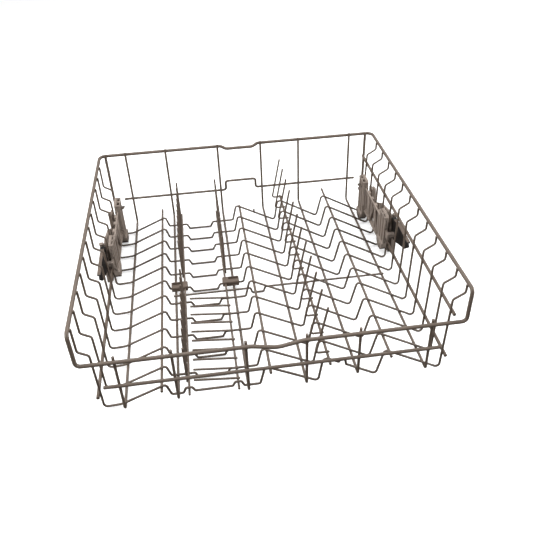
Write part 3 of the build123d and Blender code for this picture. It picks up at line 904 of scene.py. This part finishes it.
@dataclass
class SteppedWires(Assembly):
    """The rear rail with its raised middle, and the wire across the floor with its dip."""

    step_left: float = -31.0
    step_right: float = 30.0
    step_bend: float = 5.0
    rail_corner: float = 1.87
    cross_half: float = 1.65
    dip_left: float = -14.0
    dip_right: float = 12.0
    dip_slant: float = 3.0
    dip_bend: float = 3.0

    def rear_rail(self) -> Piece:
        """Build the rear rail.

        Returns:
            The rail.
        """
        low, high = node_box("rear_rail")
        y = (low.y + high.y) / 2
        floor, top = low.z + self.rail_corner, high.z - self.rail_corner
        corners = [
            Corner(low.x, y, floor),
            Corner(self.step_left, y, floor, self.step_bend),
            Corner(self.step_left, y, top, self.step_bend),
            Corner(self.step_right, y, top, self.step_bend),
            Corner(self.step_right, y, floor, self.step_bend),
            Corner(high.x, y, floor),
        ]
        return Wire(corners, self.shop.gauge.rear).build()

    def middle_wire(self) -> Piece:
        """Build the wire across the floor.

        Returns:
            The wire.
        """
        low, high = node_box("middle_wire")
        y = (low.y + high.y) / 2
        floor, top = low.z + self.shop.gauge.cross / 2, high.z - self.cross_half
        corners = [
            Corner(low.x, y, top),
            Corner(self.dip_left, y, top, self.dip_bend),
            Corner(self.dip_left + self.dip_slant, y, floor, self.dip_bend),
            Corner(self.dip_right - self.dip_slant, y, floor, self.dip_bend),
            Corner(self.dip_right, y, top, self.dip_bend),
            Corner(high.x, y, top),
        ]
        return Wire(corners, self.shop.gauge.cross).build()

    def build(self) -> None:
        """Build and dress both."""
        self.shop.coat(self.rear_rail(), "rear_rail")
        self.shop.coat(self.middle_wire(), "middle_wire")


@dataclass
class TineComb(Assembly):
    """A shaft along the basket with tines welded to its side."""

    row: CombRow
    node: str
    body: Body
    shaft_z: float
    first_tine: float
    count: int
    length: float
    lean: float = 0.0
    pitch: float = 20.826
    tail: float = 3.0
    tine_offset: float = 2.46

    @classmethod
    def back(cls, shop: Workshop, row: CombRow) -> "TineComb":
        """The fixed comb at the back of a row."""
        node = f"tine_row_{row.number}_back"
        return cls(shop, row, node, Body.BASKET, shaft_z=14.98, first_tine=238.0, count=11, length=76.0)

    @classmethod
    def front(cls, shop: Workshop, row: CombRow) -> "TineComb":
        """The folding comb at the front of a row.

        Args:
            shop: The workshop that dresses it.
            row: The row it belongs to.

        Returns:
            The comb, as it stands or lies at rest.
        """
        return cls(
            shop, row, f"tine_row_{row.number}_front", row.front_body,
            shaft_z=15.38, first_tine=row.front_first, count=10, length=64.0, lean=row.front_lean,
        )

    def build(self) -> None:
        """Build the shaft and one tine, copy the tine along the shaft and join them."""
        low, high = node_box(self.node)
        x, z, fold = self.row.shaft, self.shaft_z, self.row.fold
        shaft = Wire([Corner(x, high.y, z), Corner(x, low.y, z)], self.shop.gauge.tine).build()
        angle = math.radians(self.lean)
        up = Vector((fold * math.sin(angle), 0.0, math.cos(angle)))
        aside = Vector((-fold * math.cos(angle), 0.0, math.sin(angle)))
        foot = Vector((x, self.first_tine, z)) + aside * self.tine_offset
        ends = [Corner(*(foot - up * self.tail)), Corner(*(foot + up * self.length))]
        tine = Wire(ends, self.shop.gauge.tine).build()
        tines = repeat(tine, [-self.pitch * place for place in range(1, self.count)])
        self.shop.coat(join([shaft, *tines]), self.node, self.body)


@dataclass
class LeaningRow(Assembly):
    """Third tine row: a wire under the ridge and a leaning tine on top of it before each cross wire."""

    node: str = "tine_row_3"
    x: float = 77.0
    z: float = 40.57
    count: int = 12
    first_tine: float = 228.53
    pitch: float = 41.651
    foot_right: float = 80.5
    foot_left: float = 60.3
    tip_x: float = 76.5
    tip_z: float = 127.0
    foot_bend: float = 4.0
    foot_rise: float = 2.65

    def build(self) -> None:
        """Build the wire and one tine, copy the tine and join them."""
        low, high = node_box(self.node)
        ends = [Corner(self.x, high.y, self.z), Corner(self.x, low.y, self.z)]
        wire = Wire(ends, self.shop.gauge.long).build()
        y, foot_z = self.first_tine, self.z + self.foot_rise
        corners = [
            Corner(self.foot_right, y, foot_z),
            Corner(self.foot_left, y, foot_z, self.foot_bend),
            Corner(self.tip_x, y, self.tip_z),
        ]
        tine = Wire(corners, self.shop.gauge.tine).build()
        tines = repeat(tine, [-self.pitch * place for place in range(1, self.count)])
        self.shop.coat(join([wire, *tines]), self.node)


@dataclass
class Moulding(Assembly):
    """A moulded plastic piece: its node's shape with merged faces, recesses and rounded edges."""

    node: str
    slot: Slot
    body: Body
    edge: float
    recesses: tuple[Recess, ...] = ()
    flat: float = 1.0
    sharp: float = 32.0

    def build(self) -> None:
        """Copy the node, merge its facets, cut its recesses, round its edges and dress it."""
        choose(self.shop.frame["nodes"][self.node])
        bpy.ops.object.duplicate()
        piece = bpy.context.object
        bpy.ops.object.parent_clear(type="CLEAR_KEEP_TRANSFORM")
        # The copy is a piece of its own and no longer a node of the frame.
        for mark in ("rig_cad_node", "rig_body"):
            if mark in piece:
                del piece[mark]
        edit_all(Pick.FACES)
        bpy.ops.mesh.remove_doubles(threshold=SAME_POINT)
        bpy.ops.mesh.dissolve_limited(angle_limit=math.radians(self.flat))
        bpy.ops.object.mode_set(mode="OBJECT")
        for recess in self.recesses:
            recess.cut(piece)
        round_edges(piece, self.edge, EDGE_FACETS, self.sharp, SMOOTH_BELOW)
        self.shop.dress(piece, f"{self.node}_moulded", self.slot, self.body, self.node)


@dataclass
class PlateSide(Assembly):
    """One side's inner plate, with the places that its windows, details and pads share."""

    side: Side
    web_depth: float = 8.5
    front_setback: float = 3.0
    rear_y: float = 186.87
    front_y: float = 49.92

    @property
    def face(self) -> float:
        """Distance of the plate's inner face from the middle plane, in millimetres."""
        return inner_face(f"guide_plate_{self.side.value}")

    @property
    def web(self) -> float:
        """Distance of the web's inner face from the middle plane, in millimetres."""
        return self.face + self.web_depth


@dataclass
class Adjuster(PlateSide):
    """The height adjuster of one side: inner plate, outer guide, carrier and release lever.

    The recesses' x counts outward from the inner face of the plate's web.
    """

    plate_edge: float = 0.5
    guide_edge: float = 0.6
    carrier_edge: float = 0.6
    lever_edge: float = 0.9
    windows: tuple[Pair, ...] = (
        (68.0, 77.9), (86.9, 101.9), (110.9, 125.9), (134.9, 149.9), (158.9, 168.9)
    )
    window_near: float = -1.0
    window_far: float = 4.05
    window_foot: float = 30.0
    window_top: float = 79.0
    rear_slot: Recess = Recess((-4.8, 169.9, 34.0), (-1.6, 181.0, 80.0))
    front_slots: tuple[Recess, ...] = (
        Recess((-1.3, 32.9, 38.5), (1.2, 45.0, 50.5)), Recess((-1.3, 32.9, 65.5), (1.2, 45.0, 86.0))
    )

    def openings(self) -> tuple[Recess, ...]:
        """Place the windows of the inner plate's web and the slots in the front of its columns.

        Returns:
            The recesses of the plate.
        """
        cuts = [
            Recess((self.window_near, front, self.window_foot), (self.window_far, back, self.window_top))
            for front, back in self.windows
        ]
        placed = []
        for cut in (*cuts, self.rear_slot, *self.front_slots):
            left, right = self.side.span(self.web + cut.low[0], self.web + cut.high[0])
            placed.append(Recess((left, *cut.low[1:]), (right, *cut.high[1:])))
        return tuple(placed)

    def build(self) -> None:
        """Build the four pieces."""
        side = self.side.value
        for node, slot, body, edge, cuts in (
            ("guide_plate", Slot.ADJUSTER, Body.BASKET, self.plate_edge, self.openings()),
            ("guide_bars", Slot.ADJUSTER, Body.BASKET, self.guide_edge, ()),
            ("rail_carrier", Slot.ADJUSTER, Body(f"carrier_{side}"), self.carrier_edge, ()),
            ("release_lever", Slot.LEVER, Body(f"lever_{side}"), self.lever_edge, ()),
        ):
            Moulding(self.shop, f"{node}_{side}", slot, body, edge, cuts).build()


@dataclass
class ShaftClips(Assembly):
    """The two clips that hold the front comb shafts, with a deep slot and two ribs each."""

    edge: float = 0.5
    slots: tuple[Pair, Pair] = ((-148.4, -132.8), (-50.4, -33.6))
    slot_near: float = 0.4
    slot_far: float = 6.6
    slot_floor: float = 14.0
    slot_top: float = 24.0
    rib_levels: Pair = (12.6, 18.2)
    rib_inset: float = 2.0
    rib_half: float = 0.75
    rib_proud: float = 0.9

    def build(self) -> None:
        """Build both clips and their ribs."""
        for number, (left, right) in enumerate(self.slots, start=1):
            node = f"shaft_clip_{number}"
            low, high = node_box(node)
            middle = (low.y + high.y) / 2
            slot_low = (left, middle + self.slot_near, self.slot_floor)
            slot = Recess(slot_low, (right, middle + self.slot_far, self.slot_top))
            Moulding(self.shop, node, Slot.CLIP, Body.BASKET, self.edge, (slot,)).build()
            ribs = []
            for z in self.rib_levels:
                foot = (low.x + self.rib_inset, low.y - self.rib_proud, z - self.rib_half)
                top = (high.x - self.rib_inset, low.y + self.rib_proud, z + self.rib_half)
                ribs.append(bar(foot, top, self.rib_half / 2))
            self.shop.dress(join(ribs), f"{node}_ribs", Slot.CLIP, Body.BASKET)


@dataclass
class LeverPaintedHighlight(Assembly):
    """Taupe strip along the top edge of a release lever, on a route of (y, z): a painted highlight, lighter
    colour that stands in for light falling on the black lever's top flange.
    """

    side: Side
    section_height: float = 2.4
    proud: float = 0.3
    near: float = 0.35
    width: float = 5.7
    route: tuple[Pair, ...] = (
        (39.0, 83.8), (30.0, 86.1), (18.0, 88.0), (-10.0, 87.2), (-38.5, 86.0)
    )
    edge: float = 0.6
    edge_facets: int = 3
    sharp: float = 40.0
    smooth: float = 35.0

    def draw(self) -> Piece:
        """Extrude the section along a lever's top and round its edges.

        Returns:
            The strip.
        """
        x = self.side.sign * (inner_face(f"release_lever_{self.side.value}") + self.near + self.width / 2)
        first_y, first_z = self.route[0]
        deselect()
        bpy.ops.mesh.primitive_plane_add(size=1.0, rotation=(math.radians(90), 0.0, 0.0))
        strip = bpy.context.object
        strip.scale = (self.width * MM, self.section_height * MM, 1.0)
        strip.location = Vector((x, first_y, first_z + self.proud - self.section_height / 2)) * MM
        bpy.ops.object.transform_apply(location=True, rotation=True, scale=True)
        edit_all(Pick.FACES)
        for (y0, z0), (y1, z1) in zip(self.route, self.route[1:]):
            extrude(Vector((0.0, y1 - y0, z1 - z0)) * MM)
        close_edit()
        round_edges(strip, self.edge, self.edge_facets, self.sharp, self.smooth)
        return strip

    def build(self) -> None:
        """Build and dress the strip, a painted highlight in the clip finish."""
        name, body = f"lever_trim_{self.side.value}", Body(f"lever_{self.side.value}")
        # The taupe strip is a painted highlight: it lightens the black lever's top edge where light falls
        # on its flange.
        self.shop.dress(self.draw(), name, Slot.CLIP, body)


@dataclass
class PlateDetails(PlateSide):
    """Truss ribs on the web, caps on the columns and the small inward finger of an inner plate."""

    column_rise: float = 6.0
    web_front: float = 66.4
    web_back: float = 170.4
    web_foot: float = 26.0
    web_top: float = 76.5
    truss_front: float = 82.4
    bay: float = 24.0
    rib_width: float = 2.6
    rib_proud: float = 2.2
    rear_top: float = 89.0
    front_top: float = 92.0
    cap_half_width: float = 16.3
    cap_height: float = 3.4
    cap_proud: float = 0.6
    cap_wall: float = 0.7
    hole_near: float = 2.6
    hole_far: float = 14.2
    hole_margin: float = 1.0
    finger_z: float = 73.5
    finger_half_width: float = 2.6
    finger_height: float = 3.2
    finger_reach: float = 4.6
    finger_taper: Triple = (1.0, 0.7, 0.6)
    edge: float = 0.5

    def truss(self) -> list[Piece]:
        """Build the rails along the web and the slanting ribs between them.

        Returns:
            The ribs.
        """
        web, half = self.web, self.rib_width / 2
        x0, x1 = self.side.span(web - self.rib_proud, web + self.edge)
        ribs = []
        for z in (self.web_foot, self.web_top):
            low, high = (x0, self.web_front, z - half), (x1, self.web_back, z + half)
            ribs.append(bar(low, high, self.edge))
        rise, middle = self.web_top - self.web_foot, (self.web_foot + self.web_top) / 2
        reach = math.hypot(self.bay, rise) / 2
        # One rib leans forward in the second bay; ribs lean back in the first and third.
        for lean, bays in ((-1, (1,)), (1, (0, 2))):
            rib = bar((x0, -reach, -half), (x1, reach, half), self.edge)
            along = self.truss_front + self.bay * (bays[0] + 0.5)
            turn = Matrix.Rotation(lean * math.atan2(rise, self.bay), 4, "X")
            rib.matrix_world = Matrix.Translation(Vector((0.0, along, middle)) * MM) @ turn
            bpy.ops.object.transform_apply(location=True, rotation=True, scale=False)
            ribs += repeat(rib, [self.bay * (number - bays[0]) for number in bays[1:]])
        return ribs

    def caps(self) -> list[Piece]:
        """Build a cap with two holes over the ribs of each column.

        Returns:
            The two caps.
        """
        web = self.web
        caps = []
        for y, top, rise in (
            (self.rear_y, self.rear_top, self.column_rise),
            (self.front_y, self.front_top, self.column_rise - self.front_setback),
        ):
            foot, crown = top - self.cap_height, top + self.cap_proud
            x0, x1 = self.side.span(web - rise - self.cap_proud, web + self.edge)
            low = (x0, y - self.cap_half_width, foot)
            high = (x1, y + self.cap_half_width, crown)
            cap = bar(low, high, self.edge)
            x0, x1 = self.side.span(web - rise + self.cap_wall, web - self.cap_wall)
            for front, back in ((-self.hole_far, -self.hole_near), (self.hole_near, self.hole_far)):
                hole_low = (x0, y + front, foot - self.hole_margin)
                Recess(hole_low, (x1, y + back, crown + self.hole_margin)).cut(cap)
            caps.append(cap)
        return caps

    def finger(self) -> Piece:
        """Build the finger that points into the basket from the rear column, with its tip turned up.

        Returns:
            The finger.
        """
        y, half = self.rear_y, self.finger_half_width
        root = self.web - self.column_rise
        x0, x1 = self.side.span(root - self.finger_reach, root + self.edge)
        low = (x0, y - half, self.finger_z)
        high = (x1, y + half, self.finger_z + self.finger_height)
        stem = bar(low, high, self.edge)
        inward = max(stem.data.polygons, key=lambda flat: (-self.side.sign * flat.normal.x, flat.area))
        for flat in stem.data.polygons:
            flat.select = flat.index == inward.index
        bpy.ops.object.mode_set(mode="EDIT")
        bpy.ops.mesh.select_mode(type=Pick.FACES.value)
        extrude(Vector((-self.side.sign * self.finger_height, 0.0, self.finger_height)) * MM)
        bpy.ops.transform.resize(value=self.finger_taper)
        bpy.ops.object.mode_set(mode="OBJECT")
        return stem

    def build(self) -> None:
        """Build and dress the plate's details."""
        pieces = [*self.truss(), *self.caps(), self.finger()]
        self.shop.dress(join(pieces), f"plate_details_{self.side.value}", Slot.ADJUSTER, Body.BASKET)


@dataclass
class FootPads(PlateSide):
    """Round ribbed pads on the shoes of both columns of an inner plate."""

    radius: float = 6.4
    facets: int = 28
    rise: float = 0.9
    rim_width: float = 1.5
    recess: float = 0.6
    rear_z: float = 10.5
    front_z: float = 28.0
    edge: float = 0.2
    sharp: float = 40.0
    smooth: float = 35.0

    def draw(self, place: Vector) -> Piece:
        """Build a pad with a raised rim and a hub that faces into the basket.

        Args:
            place: Middle of its back on the shoe, in millimetres.

        Returns:
            The pad.
        """
        deselect()
        turn = (0.0, math.radians(-90) * self.side.sign, 0.0)
        bpy.ops.mesh.primitive_circle_add(
            vertices=self.facets,
            radius=self.radius * MM,
            fill_type="NGON",
            rotation=turn,
            location=place * MM,
        )
        pad = bpy.context.object
        bpy.ops.object.transform_apply(location=True, rotation=True, scale=True)
        inward = Vector((-self.side.sign * MM, 0.0, 0.0))
        edit_all(Pick.FACES)
        extrude(inward * self.rise)
        for step in (-self.recess, self.recess):
            bpy.ops.mesh.inset(thickness=self.rim_width * MM)
            extrude(inward * step)
        close_edit()
        round_edges(pad, self.edge, EDGE_FACETS, self.sharp, self.smooth)
        return pad

    def build(self) -> None:
        """Build one pad on each shoe."""
        for place, x, y, z in (
            ("rear", self.face, self.rear_y, self.rear_z),
            ("front", self.face + self.front_setback, self.front_y, self.front_z),
        ):
            pad = self.draw(Vector((self.side.sign * x, y, z)))
            self.shop.dress(pad, f"foot_pad_{self.side.value}_{place}", Slot.ADJUSTER, Body.BASKET)


@dataclass
class WeldCoats(Assembly):
    """Small swellings of the coating where lengthwise wires are welded under the cross wires."""

    wires: CrossWires
    nodes: tuple[str, ...]
    spread: float = 2.3
    depth: float = 1.35
    drop: float = 1.5
    segments: int = 12
    rings: int = 8

    def build(self) -> None:
        """Model one swelling, flatten it, and copy it to every crossing."""
        places = self.wires.places()[:-1]
        spots = []
        for node in self.nodes:
            low, high = node_box(node)
            x = (low.x + high.x) / 2
            z = self.wires.height_at(x) - self.drop
            spots += [Vector((x, y, z)) * MM for y in places]
        deselect()
        bpy.ops.mesh.primitive_uv_sphere_add(segments=self.segments, ring_count=self.rings, radius=MM)
        bead = bpy.context.object
        edit_all(Pick.FACES)
        bpy.ops.transform.resize(value=(self.spread, self.spread, self.depth))
        close_edit()
        bpy.ops.object.shade_smooth()
        beads = [copy_moved(bead, spot) for spot in spots]
        remove(bead)
        self.shop.dress(join(beads), "weld_coats", Slot.WIRE, Body.BASKET)


def grey(level: float) -> tuple[float, float, float, float]:
    """A solid grey of one level."""
    return level, level, level, 1.0


@dataclass(frozen=True)
class Lamp:
    """A soft square light that faces the basket: places and width in metres, power in watts."""

    name: str
    place: Triple
    width: float
    power: float
    aim: Triple = (0.0, 0.0, 0.08)

    def hang(self) -> None:
        """Hang the light and turn it to the basket."""
        lamp = bpy.data.lights.new(self.name, "AREA")
        lamp.size = self.width
        lamp.energy = self.power
        holder = bpy.data.objects.new(self.name, lamp)
        holder.location = self.place
        facing = Vector(self.aim) - Vector(self.place)
        holder.rotation_euler = facing.to_track_quat("-Z", "Y").to_euler()
        bpy.context.scene.collection.objects.link(holder)


@dataclass
class Studio:
    """Pale floor, soft lights and the camera at the photograph's angle."""

    camera_place: Triple = (-74.83, -867.87, 680.76)
    yaw: float = 6.490
    pitch: float = 36.682
    roll: float = -2.217
    lens: float = 41.27
    sensor: float = 36.0
    floor_size: float = 12.0
    floor_drop: float = 0.3
    floor_level: float = 0.88
    floor_glow: float = 0.45
    floor_roughness: float = 0.7
    floor_specular: float = 0.2
    backdrop_level: float = 0.90
    sky_above: float = 0.6
    sky_above_from: float = 0.95
    sky_level: float = 0.12
    sky_level_at: float = 0.52
    sky_below: float = 0.03
    lamps: tuple[Lamp, ...] = (
        Lamp("top_light", (-0.25, 0.35, 1.7), 1.5, 19.0),
        Lamp("back_light", (0.5, 1.5, 1.3), 1.2, 8.0),
        Lamp("front_light", (-0.5, -1.6, 0.9), 1.2, 1.5),
        Lamp("left_light", (-1.6, -0.4, 0.8), 1.2, 34.0),
        Lamp("right_light", (1.6, -0.4, 0.8), 1.2, 34.0),
    )

    def floor(self) -> None:
        """Lay the floor just under the basket."""
        deselect()
        bpy.ops.mesh.primitive_plane_add(size=self.floor_size, location=(0.0, 0.0, -self.floor_drop * MM))
        floor = bpy.context.object
        floor.name = "studio_floor"
        material = bpy.data.materials.new("pale_floor")
        material.use_nodes = True
        shader = material.node_tree.nodes["Principled BSDF"]
        for label, value in (
            ("Base Color", grey(self.floor_level)),
            ("Roughness", self.floor_roughness),
            ("Specular IOR Level", self.floor_specular),
            ("Emission Color", grey(self.floor_level)),
            ("Emission Strength", self.floor_glow),
        ):
            shader.inputs[label].default_value = value
        floor.data.materials.append(material)
        # The floor is seen, but throws no light back at the basket.
        floor.visible_diffuse = False
        floor.visible_glossy = False

    def sky(self) -> None:
        """Surround the scene with light that is bright above and dim at the sides."""
        world = bpy.data.worlds.new("studio_tent")
        world.use_nodes = True
        nodes = world.node_tree.nodes
        place = nodes.new("ShaderNodeTexCoord")
        split = nodes.new("ShaderNodeSeparateXYZ")
        # A direction's height runs from -1, straight down, to 1.
        height = nodes.new("ShaderNodeMapRange")
        height.inputs["From Min"].default_value = -1.0
        ramp = nodes.new("ShaderNodeValToRGB")
        stops = ramp.color_ramp.elements
        stops[0].color = grey(self.sky_below)
        stops[1].color = grey(self.sky_above)
        stops[1].position = self.sky_above_from
        stops.new(self.sky_level_at).color = grey(self.sky_level)
        # The camera sees a pale backdrop in place of the tent.
        seen = nodes.new("ShaderNodeLightPath")
        backdrop = nodes.new("ShaderNodeMix")
        backdrop.data_type = "RGBA"
        backdrop.inputs["B"].default_value = grey(self.backdrop_level)
        connect(
            world.node_tree,
            (place, "Generated", split, "Vector"),
            (split, "Z", height, "Value"),
            (height, "Result", ramp, "Fac"),
            (seen, "Is Camera Ray", backdrop, "Factor"),
            (ramp, "Color", backdrop, "A"),
            (backdrop, "Result", nodes["Background"], "Color"),
        )
        bpy.context.scene.world = world

    def camera(self) -> None:
        """Set the camera where the photograph was taken."""
        yaw, pitch, roll = (math.radians(angle) for angle in (self.yaw, self.pitch, self.roll))
        ahead = Vector((math.sin(yaw) * math.cos(pitch), math.cos(yaw) * math.cos(pitch), -math.sin(pitch)))
        level = Vector((math.cos(yaw), -math.sin(yaw), 0.0))
        upward = level.cross(ahead)
        right = level * math.cos(roll) + upward * math.sin(roll)
        above = upward * math.cos(roll) - level * math.sin(roll)
        camera = bpy.data.cameras.new("photo_camera")
        camera.lens = self.lens
        camera.sensor_width = self.sensor
        camera.sensor_fit = "HORIZONTAL"
        holder = bpy.data.objects.new("photo_camera", camera)
        turn = Matrix((right, above, -ahead)).transposed().to_4x4()
        holder.matrix_world = Matrix.Translation(Vector(self.camera_place) * MM) @ turn
        bpy.context.scene.collection.objects.link(holder)
        bpy.context.scene.camera = holder

    def build(self) -> None:
        """Set up floor, lights and camera."""
        self.floor()
        self.sky()
        for lamp in self.lamps:
            lamp.hang()
        self.camera()
        bpy.context.scene.view_settings.view_transform = "Standard"


def main() -> None:
    """Build the basket's pieces in order on the loaded frame."""
    logging.basicConfig(level=logging.INFO, format="%(message)s")
    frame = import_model()
    shop = Workshop(frame)
    shop.prepare()
    Studio().build()
    Rim(shop).build()
    cross_wires, long_wires, straight_wires = CrossWires(shop), LongWires(shop), StraightWires(shop)
    for wires in (cross_wires, long_wires, straight_wires, SteppedWires(shop)):
        wires.build()
    for row in COMB_ROWS:
        TineComb.back(shop, row).build()
        TineComb.front(shop, row).build()
    LeaningRow(shop).build()
    for side in Side:
        Adjuster(shop, side).build()
    ShaftClips(shop).build()
    for part in (LeverPaintedHighlight, PlateDetails, FootPads):
        for side in Side:
            part(shop, side).build()
    WeldCoats(shop, cross_wires, (*long_wires.nodes(), *straight_wires.ridges)).build()


if __name__ == "__main__":
    main()
